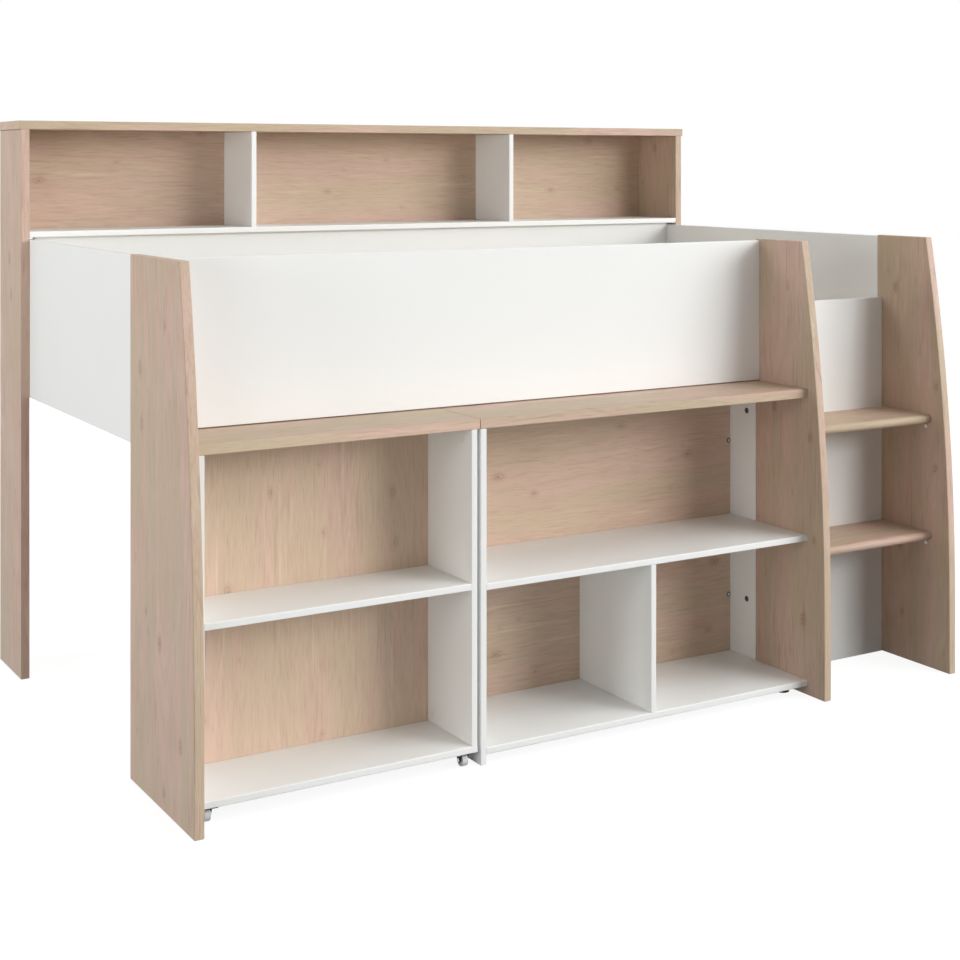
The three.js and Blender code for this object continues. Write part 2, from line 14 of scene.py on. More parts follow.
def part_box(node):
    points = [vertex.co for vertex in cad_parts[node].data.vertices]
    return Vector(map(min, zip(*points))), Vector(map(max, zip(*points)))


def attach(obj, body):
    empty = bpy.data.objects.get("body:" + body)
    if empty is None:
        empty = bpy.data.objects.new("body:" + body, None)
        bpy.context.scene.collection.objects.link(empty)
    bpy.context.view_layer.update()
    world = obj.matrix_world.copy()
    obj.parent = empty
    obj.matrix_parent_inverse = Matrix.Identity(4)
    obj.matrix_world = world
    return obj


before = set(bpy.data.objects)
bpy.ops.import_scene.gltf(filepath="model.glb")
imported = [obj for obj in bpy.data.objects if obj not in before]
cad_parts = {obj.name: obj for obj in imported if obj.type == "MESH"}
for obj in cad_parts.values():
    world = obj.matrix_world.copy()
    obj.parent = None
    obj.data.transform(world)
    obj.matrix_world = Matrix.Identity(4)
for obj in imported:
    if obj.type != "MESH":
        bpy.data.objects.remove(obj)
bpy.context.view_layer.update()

LOG = logging.getLogger("mid_sleeper")
MM = 0.001
PHOTO_SIDE = 960
# A noise lies round its mean, and mostly between its low and high values.
NOISE_LOW, NOISE_MEAN, NOISE_HIGH = 0.3, 0.5, 0.7
# How a shift moves a noise along each axis: cells for each unit, and cells at a shift of 0.
NOISE_SHIFTS = ((1.0, 0.0), (1.7, 0.3), (2.3, 0.7))

Colour = tuple[float, float, float, float]
Point = tuple[float, float, float]
Pair = tuple[float, float]
Tree = bpy.types.NodeTree
Socket = bpy.types.NodeSocket


class Axis(Enum):
    """An axis of the model, as the index of its coordinate."""

    X = 0
    Y = 1
    Z = 2


class Body(Enum):
    """The moving bodies that new pieces ride on."""

    BED_FRAME = "bed_frame"
    DESK_UNIT = "desk_unit"


class Slot(Enum):
    """The record's material slots, one given to each kind of new piece."""

    ZINC_STEEL = "zinc_steel"
    WHITE_PLASTIC = "white_plastic"
    BLACK_PLASTIC = "black_plastic"


# Colours and shader nodes

WHITE: Colour = (1.0, 1.0, 1.0, 1.0)
# The sockets of a mix node when it mixes two colours.
FACTOR, COLOUR_A, COLOUR_B, RESULT = 0, 6, 7, 2
# Settings of such a mix, plain and multiplied, and of a soft ramp.
MIXED = {"data_type": "RGBA"}
MULTIPLIED = {"data_type": "RGBA", "blend_type": "MULTIPLY"}
SMOOTH = {"interpolation_type": "SMOOTHSTEP"}


def linear(hex_colour: str) -> Colour:
    """Turn an sRGB hex colour into linear light.

    Args:
        hex_colour: Six hex digits after a hash.

    Returns:
        Red, green and blue in linear light, and an alpha of one.
    """
    shares = [int(hex_colour[i : i + 2], 16) / 255 for i in (1, 3, 5)]
    # The numbers are those of the sRGB standard's curve.
    light = [c / 12.92 if c <= 0.04045 else ((c + 0.055) / 1.055) ** 2.4 for c in shares]
    return (*light, 1.0)


def add_node(
    tree: Tree,
    kind: str,
    inputs: dict | None = None,
    out: int | str = 0,
    **settings: object,
) -> Socket | None:
    """Add a node with its settings, and set or link its inputs.

    Args:
        tree: The node tree that gets the node.
        kind: The node's type name.
        inputs: Values by input name or index; a socket is linked.
        out: The output to give back, by name or index.
        settings: Properties of the node itself.

    Returns:
        The chosen output, or nothing for a node that has no outputs.
    """
    node = tree.nodes.new(kind)
    for name, value in settings.items():
        setattr(node, name, value)
    for key, value in (inputs or {}).items():
        if isinstance(value, Socket):
            tree.links.new(value, node.inputs[key])
        else:
            node.inputs[key].default_value = value
    return node.outputs[out] if len(node.outputs) else None


# Finishes


@dataclass(frozen=True)
class Finish:
    """A surface of one colour with a fine relief, such as moulded plastic or plated steel."""

    name: str
    colour: str
    roughness: float
    ior: float = 1.5
    metallic: float = 0.0
    relief_mm: float = 1.5
    relief: float = 0.05
    mottle: float = 0.02
    handling_mm: float = 140.0
    handling: float = 0.05
    handling_shift: float = 3.3

    def noise(self, tree: Tree, size_mm: Point, shift: float = 0.0, detail: float = 2.0) -> Socket:
        """Give a noise of a real size in the model's own coordinates.

        Args:
            tree: The material's node tree.
            size_mm: Size of one cell along each axis.
            shift: Offset in cells that keeps two patterns apart.
            detail: How much finer noise is laid over it.

        Returns:
            A value round one half.
        """
        place = add_node(tree, "ShaderNodeTexCoord", out="Object")
        scale = tuple(1.0 / (size * MM) for size in size_mm)
        offset = tuple(shift * rate + start for rate, start in NOISE_SHIFTS)
        mapping = {"Vector": place, "Location": offset, "Scale": scale}
        cells = add_node(tree, "ShaderNodeMapping", mapping)
        pattern = {"Vector": cells, "Scale": 1.0, "Detail": detail}
        return add_node(tree, "ShaderNodeTexNoise", pattern)

    def sheen(self, tree: Tree) -> Socket:
        """Give the roughness, which handling changes slightly from place to place."""
        worn = self.noise(tree, (self.handling_mm,) * 3, self.handling_shift)
        limits = {
            "Value": worn,
            "From Min": NOISE_LOW,
            "From Max": NOISE_HIGH,
            "To Min": self.roughness - self.handling,
            "To Max": self.roughness + self.handling,
        }
        return add_node(tree, "ShaderNodeMapRange", limits)

    def paint(self, tree: Tree) -> tuple[Socket, Socket]:
        """Give the shader's colour and relief.

        Args:
            tree: The material's node tree.

        Returns:
            The colour and the height.
        """
        grainy = self.noise(tree, (self.relief_mm,) * 3)
        limits = {
            "Value": grainy,
            "From Min": NOISE_LOW,
            "From Max": NOISE_HIGH,
            "To Min": 1 - self.mottle,
        }
        shade = add_node(tree, "ShaderNodeMapRange", limits)
        tints = {FACTOR: 1.0, COLOUR_A: linear(self.colour), COLOUR_B: shade}
        mottled = add_node(tree, "ShaderNodeMix", tints, RESULT, **MULTIPLIED)
        return mottled, grainy

    def material(self) -> bpy.types.Material:
        """Build the material, or give the one already built.

        Returns:
            The finish's material.
        """
        made = bpy.data.materials.get(self.name)
        if made:
            return made
        made = bpy.data.materials.new(self.name)
        made.use_nodes = True
        made.diffuse_color = linear(self.colour)
        tree = made.node_tree
        tree.nodes.clear()
        colour, height = self.paint(tree)
        relief = {"Strength": self.relief, "Distance": self.relief_mm * MM, "Height": height}
        inputs = {
            "Base Color": colour,
            "Roughness": self.sheen(tree),
            "IOR": self.ior,
            "Metallic": self.metallic,
            "Normal": add_node(tree, "ShaderNodeBump", relief),
        }
        shader = add_node(tree, "ShaderNodeBsdfPrincipled", inputs)
        add_node(tree, "ShaderNodeOutputMaterial", {"Surface": shader})
        return made


@dataclass(frozen=True)
class GrainLayer:
    """A layer of grain, whose colour covers what lies under it where its noise is high."""

    colour: str
    depth: float
    size_mm: Pair
    low: float
    high: float
    detail: float = 2.0
    patch_mm: Pair | None = None

    def limits(self, noise: Socket) -> dict[str, float | Socket]:
        """Give what turns the layer's noise into its share."""
        return {"Value": noise, "From Min": self.low, "From Max": self.high, "To Max": self.depth}


@dataclass(frozen=True)
class WoodSurface(Finish):
    """Wood grain that runs along one axis: layers of streaks, growth lines and small knots.

    A knot's limits are depths inside its rim, in radii. Shifts keep one surface's patterns apart.
    """

    grain: Axis = Axis.X
    plate: Axis = Axis.Z
    seed: float = 0.0
    # Painted light: a gain above one brightens the whole sheet for light that falls short in
    # recesses.
    painted_light_gain: float = 1.0
    layers: tuple[GrainLayer, ...] = ()
    layer_shift: float = 1.9
    patch_shift: float = 0.9
    patch_limits: Pair = (0.4, 0.6)
    growth: GrainLayer | None = None
    growth_turns: float = 14.0
    growth_shift: float = 2.7
    growth_bend: float = 0.08
    knot: str = "#7d6452"
    halo: str = "#a88a77"
    knot_cell_mm: Pair = (140.0, 240.0)
    knot_cell_shift: float = 0.4
    knot_mm: float = 9.0
    knot_lean: float = 3.7
    knot_free_share: float = 0.35
    knot_wobble_mm: float = 3.5
    knot_wobble_shift: float = 9.0
    halo_limits: Pair = (-1.2, 0.3)
    halo_depth: float = 0.45
    heart_limits: Pair = (0.45, 0.85)
    heart_depth: float = 0.65
    ring_outer_limits: Pair = (-0.1, 0.1)
    ring_inner_limits: Pair = (0.12, 0.4)
    ring_depth: float = 0.25
    # Painted highlight: this gain makes the narrow edges paler, partly as a real edge band.
    edge_band_highlight: float = 1.0
    edge_limits: Pair = (0.4, 0.8)

    def shade(self, hex_colour: str) -> Colour:
        """Give a colour in linear light, brightened as the whole sheet is by painted light."""
        return (*(self.painted_light_gain * part for part in linear(hex_colour)[:3]), 1.0)

    def along(self, size_mm: Pair) -> Point:
        """Lay a size across and along the grain onto the model's axes."""
        cell = [size_mm[0]] * 3
        cell[self.grain.value] = size_mm[1]
        return tuple(cell)

    def knots(self, tree: Tree) -> list[Socket]:
        """Scatter small knots over the board's faces.

        They lean along the grain as they go through the board, so that its two faces and its
        neighbours differ, and some cells have none.

        Args:
            tree: The material's node tree.

        Returns:
            The shares of the tinted wood round each knot, of its dark heart and of its thin ring.
        """
        place = add_node(tree, "ShaderNodeTexCoord", out="Object")
        axes = add_node(tree, "ShaderNodeSeparateXYZ", {0: place}).node.outputs
        across = axes[sum(axis.value for axis in Axis) - self.plate.value - self.grain.value]
        lean = {0: axes[self.plate.value], 1: self.knot_lean, 2: axes[self.grain.value]}
        leaned = add_node(tree, "ShaderNodeMath", lean, operation="MULTIPLY_ADD")
        sheet = add_node(tree, "ShaderNodeCombineXYZ", {0: across, 1: leaned})
        width, length = self.knot_cell_mm
        start = (self.seed, self.seed + self.knot_cell_shift, 0.0)
        scale = (1 / (width * MM), 1 / (length * MM), 1.0)
        mapping = {"Vector": sheet, "Location": start, "Scale": scale}
        cells = add_node(tree, "ShaderNodeMapping", mapping)
        spots = {"Vector": cells, "Scale": 1.0, "Randomness": 1.0}
        distance = add_node(
            tree, "ShaderNodeTexVoronoi", spots, "Distance", voronoi_dimensions="2D"
        )
        luck = add_node(tree, "ShaderNodeSeparateColor", {0: distance.node.outputs["Color"]})
        radius = self.knot_mm / width
        limits = {"Value": luck, "From Min": self.knot_free_share, "To Max": radius}
        size = add_node(tree, "ShaderNodeMapRange", limits)
        shift = self.seed + self.knot_wobble_shift
        rough = self.noise(tree, (self.knot_wobble_mm,) * 3, shift, detail=1.0)
        wobble = {0: rough, 1: radius, 2: distance}
        uneven = add_node(tree, "ShaderNodeMath", wobble, operation="MULTIPLY_ADD")
        rim = add_node(tree, "ShaderNodeMath", {0: size, 1: radius * NOISE_MEAN}, operation="ADD")
        inside = add_node(tree, "ShaderNodeMath", {0: rim, 1: uneven}, operation="SUBTRACT")
        shares = []
        steps = (
            (self.halo_limits, self.halo_depth),
            (self.heart_limits, self.heart_depth),
            (self.ring_outer_limits, 1.0),
            (self.ring_inner_limits, 1.0),
        )
        for (low, high), depth in steps:
            limits = {
                "Value": inside,
                "From Min": low * radius,
                "From Max": high * radius,
                "To Max": depth,
            }
            shares.append(add_node(tree, "ShaderNodeMapRange", limits, **SMOOTH))
        halo, heart, outer, inner = shares
        hollow = add_node(tree, "ShaderNodeMath", {0: outer, 1: inner}, operation="SUBTRACT")
        faded = {0: hollow, 1: self.ring_depth}
        return [halo, heart, add_node(tree, "ShaderNodeMath", faded, operation="MULTIPLY")]

    def growth_lines(self, tree: Tree, bend: Socket) -> Socket:
        """Draw the arched growth lines of a board sawn off the heart.

        Args:
            tree: The material's node tree.
            bend: What pushes the lines aside, near knots.

        Returns:
            The share of the late wood.
        """
        layer = self.growth
        shift = self.seed + self.growth_shift
        figure = self.noise(tree, self.along(layer.size_mm), shift, layer.detail)
        pushed = {0: bend, 1: self.growth_bend, 2: figure}
        bent = add_node(tree, "ShaderNodeMath", pushed, operation="MULTIPLY_ADD")
        turning = {0: bent, 1: self.growth_turns * math.tau}
        turns = add_node(tree, "ShaderNodeMath", turning, operation="MULTIPLY")
        wave = add_node(tree, "ShaderNodeMath", {0: turns}, operation="SINE")
        return add_node(tree, "ShaderNodeMapRange", layer.limits(wave), **SMOOTH)

    def edge_band_and_highlight(self, tree: Tree) -> Socket:
        """Give how much paler the edges are: partly an edge band, partly painted highlight."""
        normal = add_node(tree, "ShaderNodeTexCoord", out="Normal")
        facing = add_node(tree, "ShaderNodeSeparateXYZ", {0: normal}, self.plate.value)
        flat = add_node(tree, "ShaderNodeMath", {0: facing}, operation="ABSOLUTE")
        narrow, wide = self.edge_limits
        limits = {"Value": flat, "From Min": narrow, "From Max": wide, "To Min": self.edge_band_highlight}
        return add_node(tree, "ShaderNodeMapRange", limits)

    def paint(self, tree: Tree) -> tuple[Socket, Socket]:
        """Give the shader's colour and relief.

        Args:
            tree: The material's node tree.

        Returns:
            The colour and the height, which falls in the last layer's lines.
        """
        halo, heart, ring = self.knots(tree)
        tints = [(self.growth_lines(tree, halo), self.growth.colour)]
        fibre = None
        for order, layer in enumerate(self.layers):
            shift = self.seed + self.layer_shift * order
            fibre = self.noise(tree, self.along(layer.size_mm), shift, layer.detail)
            share = add_node(tree, "ShaderNodeMapRange", layer.limits(fibre), **SMOOTH)
            if layer.patch_mm:
                cell = self.along(layer.patch_mm)
                area = self.noise(tree, cell, shift + self.patch_shift, detail=1.0)
                low, high = self.patch_limits
                limits = {"Value": area, "From Min": low, "From Max": high}
                patch = add_node(tree, "ShaderNodeMapRange", limits, **SMOOTH)
                share = add_node(tree, "ShaderNodeMath", {0: share, 1: patch}, operation="MULTIPLY")
            tints.append((share, layer.colour))
        tints += [(halo, self.halo), (heart, self.knot), (ring, self.knot)]
        colour = self.shade(self.colour)
        for share, tint in tints:
            laid_over = {FACTOR: share, COLOUR_A: colour, COLOUR_B: self.shade(tint)}
            colour = add_node(tree, "ShaderNodeMix", laid_over, RESULT, **MIXED)
        # Painted highlight on the narrow edges, partly a real edge band.
        band_and_highlight = {FACTOR: 1.0, COLOUR_A: colour, COLOUR_B: self.edge_band_and_highlight(tree)}
        colour = add_node(tree, "ShaderNodeMix", band_and_highlight, RESULT, **MULTIPLIED)
        return colour, add_node(tree, "ShaderNodeMath", {0: 1.0, 1: fibre}, operation="SUBTRACT")


@dataclass(frozen=True)
class BackingBoard(WoodSurface):
    """Hardboard with a printed face: the grain shows in front, and bare pressed fibre behind."""

    bare: str = "#7e6550"
    bare_light: str = "#a08871"
    bare_mm: float = 7.0
    bare_detail: float = 5.0
    printed_until_mm: float = 681.0

    def paint(self, tree: Tree) -> tuple[Socket, Socket]:
        """Give the print, with the bare fibre behind it.

        Args:
            tree: The material's node tree.

        Returns:
            The colour and the height.
        """
        colour, height = super().paint(tree)
        place = add_node(tree, "ShaderNodeTexCoord", out="Object")
        depth = add_node(tree, "ShaderNodeSeparateXYZ", {0: place}, "Y")
        limit = {0: depth, 1: self.printed_until_mm * MM}
        behind = add_node(tree, "ShaderNodeMath", limit, operation="GREATER_THAN")
        fibre = self.noise(tree, (self.bare_mm,) * 3, self.seed, self.bare_detail)
        tints = {FACTOR: fibre, COLOUR_A: linear(self.bare), COLOUR_B: linear(self.bare_light)}
        bare = add_node(tree, "ShaderNodeMix", tints, RESULT, **MIXED)
        sides = {FACTOR: behind, COLOUR_A: colour, COLOUR_B: bare}
        return add_node(tree, "ShaderNodeMix", sides, RESULT, **MIXED), height


# Melamine-faced chipboard with a printed pale oak decor: paper grain under clear resin, so it is
# satin and low in contrast. Rosy and straw bands about 60 mm wide lie under pale and late wood
# streaks of 6 to 10 mm. The fibres, about 0.5 mm wide in the print, are drawn 2 mm wide so that
# they show. The narrow edges are painted slightly paler: partly an edge band printed apart, and
# partly a painted highlight where light catches the edges, so that the boards' outlines stand out.
PRINTED_OAK = WoodSurface(
    name="printed_oak_melamine_along",
    colour="#c8ab9b",
    roughness=0.5,
    layers=(
        GrainLayer("#b7a98c", 0.75, (60.0, 520.0), 0.38, 0.62, 1.5),
        GrainLayer("#d6c6ab", 0.45, (10.0, 200.0), 0.54, 0.76, 2.0, (90.0, 400.0)),
        GrainLayer("#a68b77", 0.6, (6.5, 130.0), 0.50, 0.74, 2.0, (50.0, 330.0)),
        GrainLayer("#8d7360", 0.45, (2.2, 100.0), 0.62, 0.80, 1.0, (60.0, 300.0)),
        GrainLayer("#a3866f", 0.4, (2.0, 42.0), 0.45, 0.75, 2.0),
    ),
    growth=GrainLayer("#a88b75", 0.2, (170.0, 1000.0), 0.0, 1.0, 1.0),
    edge_band_highlight=1.1,
)
# The desk top's edges get a stronger painted highlight.
OAK_DESK_TOP = replace(
    PRINTED_OAK, name="printed_oak_melamine_along_desk", seed=31.0, edge_band_highlight=1.22
)
OAK_SHELF_TOP = replace(PRINTED_OAK, name="printed_oak_melamine_along_shelf", seed=47.0)
OAK_STEP = replace(PRINTED_OAK, name="printed_oak_melamine_step", seed=83.0, edge_band_highlight=1.0)
OAK_UPRIGHT = replace(
    PRINTED_OAK,
    name="printed_oak_melamine_upright",
    grain=Axis.Z,
    plate=Axis.X,
    seed=12.0,
    knot_cell_mm=(120.0, 210.0),
    layers=(replace(PRINTED_OAK.layers[0], depth=0.62), *PRINTED_OAK.layers[1:]),
    growth=replace(PRINTED_OAK.growth, depth=0.16),
    ring_depth=0.4,
)
# The panels behind the shelves are a sheet of the same decor. Its bands and arches are fainter,
# and its thin dark streaks stand out more. The whole sheet is painted brighter: painted light for
# the light that falls short of the backs of the recesses. Each share scales the depth of one layer
# above, in their order.
FAINT_SHARES = (0.6, 0.8, 0.8, 1.3, 1.0)
FAINT_COLOUR = "#c2a897"
FAINT_LAYERS = tuple(
    replace(layer, depth=share * layer.depth)
    for share, layer in zip(FAINT_SHARES, PRINTED_OAK.layers)
)
FAINT_GROWTH = replace(PRINTED_OAK.growth, depth=0.14)
OAK_DESK_BACK = replace(
    PRINTED_OAK,
    name="printed_oak_melamine_desk_back",
    colour=FAINT_COLOUR,
    layers=FAINT_LAYERS,
    growth=FAINT_GROWTH,
    grain=Axis.Z,
    plate=Axis.Y,
    seed=58.0,
    painted_light_gain=1.33,
)
OAK_BOOKCASE_BACK = replace(
    OAK_DESK_BACK, name="printed_oak_melamine_bookcase_back", grain=Axis.X, seed=71.0, painted_light_gain=1.25
)
OAK_BACKING = BackingBoard(
    name="printed_oak_hardboard",
    colour=FAINT_COLOUR,
    painted_light_gain=1.2,
    roughness=0.55,
    relief=0.04,
    plate=Axis.Y,
    seed=17.0,
    layers=FAINT_LAYERS,
    growth=FAINT_GROWTH,
)

# Melamine-faced chipboard in plain white: the press plate leaves a pearl relief of about 0.5 mm,
# drawn here at 3 mm so that it shows, which breaks the satin gloss up slightly.
WHITE_MELAMINE = Finish(
    name="white_melamine_pearl",
    colour="#f1f2f0",
    roughness=0.42,
    relief_mm=3.0,
    relief=0.03,
    mottle=0.012,
)

# Planed pine slats and ledges, left unfinished: pale cream, with clear growth lines and a dry
# surface.
PLANED_PINE = WoodSurface(
    name="planed_pine_across",
    colour="#eadfcb",
    roughness=0.62,
    relief=0.12,
    grain=Axis.Y,
    plate=Axis.Z,
    knot="#8a5f3e",
    halo="#cfa877",
    knot_cell_mm=(70.0, 240.0),
    growth_turns=11.0,
    layers=(
        GrainLayer("#efe4d0", 0.8, (26.0, 420.0), 0.42, 0.60),
        GrainLayer("#dcc7a6", 0.5, (4.0, 160.0), 0.50, 0.74),
        GrainLayer("#d2b790", 0.4, (1.5, 60.0), 0.50, 0.78),
    ),
    growth=GrainLayer("#d8bb92", 0.5, (40.0, 900.0), 0.1, 0.9, 1.0),
)
PINE_ALONG = replace(PLANED_PINE, name="planed_pine_along", grain=Axis.X, plate=Axis.Y, seed=3.0)

# Pressed steel with a black electro-coat: thin, even and matt, so it stays black beside the pale
# wheel.
BLACK_COATED_STEEL = Finish(
    name="black_coated_pressed_steel", colour="#0c0c0d", roughness=0.65, ior=1.38, relief_mm=1.0
)

# Zinc-plated steel of pins and screws: bright blue-grey plating with a fine grain.
ZINC_PLATED_STEEL = Finish(
    name="zinc_plated_steel", colour="#c9cdd1", roughness=0.3, metallic=1.0, relief_mm=0.8
)

# Die-cast zinc alloy of the cams: duller and darker than plating.
CAST_ZINC = Finish(
    name="die_cast_zinc_alloy",
    colour="#6f7176",
    roughness=0.5,
    metallic=1.0,
    relief_mm=1.0,
    relief=0.15,
)

# Injection-moulded nylon wheels: pale grey and slightly waxy.
GREY_NYLON = Finish(
    name="moulded_grey_nylon", colour="#d3d8d6", roughness=0.42, ior=1.53, relief_mm=1.2
)

# Injection-moulded black polypropylene of glides: matt from a spark-eroded mould. It also
# colours the black rings of painted shade round the back pins' heads.
BLACK_POLYPROPYLENE = Finish(
    name="moulded_black_polypropylene", colour="#0d0d0d", roughness=0.65, ior=1.45, relief_mm=0.8
)

# Injection-moulded white polystyrene caps: smooth and half gloss.
WHITE_POLYSTYRENE = Finish(
    name="moulded_white_polystyrene", colour="#eeece8", roughness=0.3, ior=1.59, relief_mm=2.0
)


# Meshes


class Softener:
    """Rounds the shading of a piece without touching its own mesh."""

    angle_degrees = 40.0
    weld_mm = 0.01

    def __init__(self) -> None:
        """Build the shared node group that marks edges by their angle."""
        group = bpy.data.node_groups.new("shade_by_edge_angle", "GeometryNodeTree")
        for way in ("INPUT", "OUTPUT"):
            group.interface.new_socket("Geometry", in_out=way, socket_type="NodeSocketGeometry")
        start = add_node(group, "NodeGroupInput")
        carved = {"Geometry": start, "Name": "custom_normal"}
        bare = add_node(group, "GeometryNodeRemoveAttribute", carved)
        angle = add_node(group, "GeometryNodeInputMeshEdgeAngle", out="Unsigned Angle")
        limit = {"A": angle, "B": math.radians(self.angle_degrees)}
        shallow = add_node(
            group, "FunctionNodeCompare", limit, data_type="FLOAT", operation="LESS_THAN"
        )
        smooth = {"Geometry": bare, "Shade Smooth": True}
        faces = add_node(group, "GeometryNodeSetShadeSmooth", smooth, domain="FACE")
        smooth = {"Geometry": faces, "Shade Smooth": shallow}
        edges = add_node(group, "GeometryNodeSetShadeSmooth", smooth, domain="EDGE")
        add_node(group, "NodeGroupOutput", {0: edges})
        self.group = group

    def soften(self, piece: bpy.types.Object) -> None:
        """Weld, mark and weight the shading of a piece by modifiers."""
        piece.modifiers.new("weld", "WELD").merge_threshold = self.weld_mm * MM
        piece.modifiers.new("shade_by_edge_angle", "NODES").node_group = self.group
        piece.modifiers.new("weighted_normals", "WEIGHTED_NORMAL").keep_sharp = True


SOFTENER = Softener()


def dress(node: str, finish: Finish) -> None:
    """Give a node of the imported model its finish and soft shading."""
    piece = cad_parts[node]
    piece.data.materials.clear()
    piece.data.materials.append(finish.material())
    SOFTENER.soften(piece)
    LOG.info("%s: %s", node, finish.name)


def keep(name: str, shape: bmesh.types.BMesh) -> bpy.types.Object:
    """Turn a finished shape into an object of the scene."""
    bmesh.ops.recalc_face_normals(shape, faces=shape.faces)
    mesh = bpy.data.meshes.new(name)
    shape.to_mesh(mesh)
    shape.free()
    piece = bpy.data.objects.new(name, mesh)
    bpy.context.scene.collection.objects.link(piece)
    return piece


def turned(name: str, profile_mm: list[Pair], segments: int = 32) -> bpy.types.Object:
    """Turn a profile about Z into a closed piece.

    Args:
        name: The piece's name.
        profile_mm: Radius and height of each point, from axis to axis.
        segments: Steps round the axis.

    Returns:
        The piece, standing at the origin.
    """
    shape = bmesh.new()
    rings = []
    for radius, height in profile_mm:
        count = segments if radius else 1
        turns = [math.tau * step / count for step in range(count)]
        ring = [(radius * math.cos(turn), radius * math.sin(turn), height) for turn in turns]
        rings.append([shape.verts.new(Vector(place) * MM) for place in ring])
    for low, high in zip(rings, rings[1:]):
        for step in range(segments):
            after = (step + 1) % segments
            foot = [low[step % len(low)], low[after % len(low)]]
            head = [high[after % len(high)], high[step % len(high)]]
            shape.faces.new(list(dict.fromkeys(foot + head)))
    return keep(name, shape)


def cross_prism(
    name: str, arm_mm: float, width_mm: float, low_mm: float, high_mm: float
) -> bpy.types.Object:
    """Build an upright prism with a cross for its outline, which cuts a driver recess.

    Args:
        name: The piece's name.
        arm_mm: Length of each arm from the axis.
        width_mm: Width of an arm.
        low_mm: Height of the foot.
        high_mm: Height of the top.

    Returns:
        The prism.
    """
    shape = bmesh.new()
    half = width_mm / 2
    outline = []
    quarter = [(arm_mm, -half), (arm_mm, half), (half, half)]
    for _ in range(4):
        outline += quarter
        quarter = [(-y, x) for x, y in quarter]
    floor, roof = (
        [shape.verts.new(Vector((x, y, height)) * MM) for x, y in outline]
        for height in (low_mm, high_mm)
    )
    shape.faces.new(floor[::-1])
    shape.faces.new(roof)
    for step in range(len(outline)):
        after = (step + 1) % len(outline)
        shape.faces.new([floor[step], floor[after], roof[after], roof[step]])
    return keep(name, shape)


def cut(piece: bpy.types.Object, cutter: bpy.types.Object) -> None:
    """Cut a piece by another, and remove the cutter."""
    boolean = piece.modifiers.new("cut", "BOOLEAN")
    boolean.operation, boolean.solver, boolean.object = "DIFFERENCE", "EXACT", cutter
    bpy.context.view_layer.update()
    graph = bpy.context.evaluated_depsgraph_get()
    result = bpy.data.meshes.new_from_object(piece.evaluated_get(graph))
    piece.modifiers.remove(boolean)
    piece.data = result
    bpy.data.objects.remove(cutter)


@dataclass
class Fastening:
    """A small round fastening that is built once and set in several places.

    Its own Z is the way it looks, and a height of 0 is the face that it is set on. A recess is a
    cross for the driver, given as the length of an arm, its width and its depth.
    """

    name: str
    profile_mm: list[Pair]
    finish: Finish
    slot: Slot
    recess_mm: Point | None = None
    recess_overrun_mm: float = 1.0
    mesh: bpy.types.Mesh | None = field(default=None, repr=False)

    def build(self) -> bpy.types.Mesh:
        """Build the shared mesh, with its driver recess if it has one."""
        piece = turned(f"{self.name}_pattern", self.profile_mm)
        if self.recess_mm:
            arm, width, depth = self.recess_mm
            top = self.profile_mm[-1][1]
            roof = top + self.recess_overrun_mm
            cut(piece, cross_prism(f"{self.name}_recess", arm, width, top - depth, roof))
        mesh = piece.data
        bpy.data.objects.remove(piece)
        mesh.materials.clear()
        mesh.materials.append(self.finish.material())
        return mesh

    def set_at(self, place: str, way: Point, place_mm: Point, body: Body) -> None:
        """Set one copy on a face.

        Args:
            place: What tells this copy from the others in its name.
            way: The direction it looks.
            place_mm: Where its axis meets the face, in the model.
            body: The body it rides on.
        """
        if self.mesh is None:
            self.mesh = self.build()
        piece = bpy.data.objects.new(f"{self.name}_{place}", self.mesh)
        bpy.context.scene.collection.objects.link(piece)
        turn = Vector((0, 0, 1)).rotation_difference(Vector(way)).to_matrix().to_4x4()
        piece.matrix_world = Matrix.Translation(Vector(place_mm) * MM) @ turn
        SOFTENER.soften(piece)
        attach(piece, body.value)
        LOG.info("%s: set on %s", piece.name, body.value)


LEFTWARD, RIGHTWARD, FORWARD, DOWNWARD = (-1, 0, 0), (1, 0, 0), (0, -1, 0), (0, 0, -1)


# Sub-assemblies


@dataclass
class Uprights:
    """The three curved-front uprights and the two posts of the back shelf."""

    nodes: tuple[str, ...] = (
        "left_upright",
        "middle_upright",
        "right_upright",
        "left_back_post",
        "right_back_post",
    )

    def build(self) -> None:
        """Give every upright its vertical grain."""
        for node in self.nodes:
            dress(node, OAK_UPRIGHT)


@dataclass
class BedPanels:
    """The white boards round the mattress."""

    nodes: tuple[str, ...] = (
        "left_end_panel",
        "right_end_panel",
        "front_guard",
        "back_rail",
        "ladder_riser",
    )

    def build(self) -> None:
        """Face every panel in white."""
        for node in self.nodes:
            dress(node, WHITE_MELAMINE)


@dataclass
class Ladder:
    """The two steps, and the white caps under them on the screws of both uprights."""

    steps: tuple[str, ...] = ("ladder_step_lower", "ladder_step_upper")
    cap_drop_mm: float = 9.0
    cap_front_inset_mm: float = 20.0
    cap_rear_inset_mm: float = 38.0
    cap: Fastening = field(
        default_factory=lambda: Fastening(
            "step_screw_cap",
            [(0, -0.5), (5.2, -0.5), (5.2, 0.9), (4.7, 2.0), (3.2, 2.9), (1.4, 3.3), (0, 3.4)],
            WHITE_POLYSTYRENE,
            Slot.WHITE_PLASTIC,
        )
    )

    def build(self) -> None:
        """Give the steps their grain along the bed, and set the caps under them."""
        for step in self.steps:
            dress(step, OAK_STEP)
            low, high = (Vector(corner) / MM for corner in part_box(step))
            front, rear = low.y + self.cap_front_inset_mm, high.y - self.cap_rear_inset_mm
            for depth, y in (("front", front), ("rear", rear)):
                for side, x, way in (("left", low.x, RIGHTWARD), ("right", high.x, LEFTWARD)):
                    place = f"{step.removeprefix('ladder_step_')}_{depth}_{side}"
                    self.cap.set_at(place, way, (x, y, low.z - self.cap_drop_mm), Body.BED_FRAME)


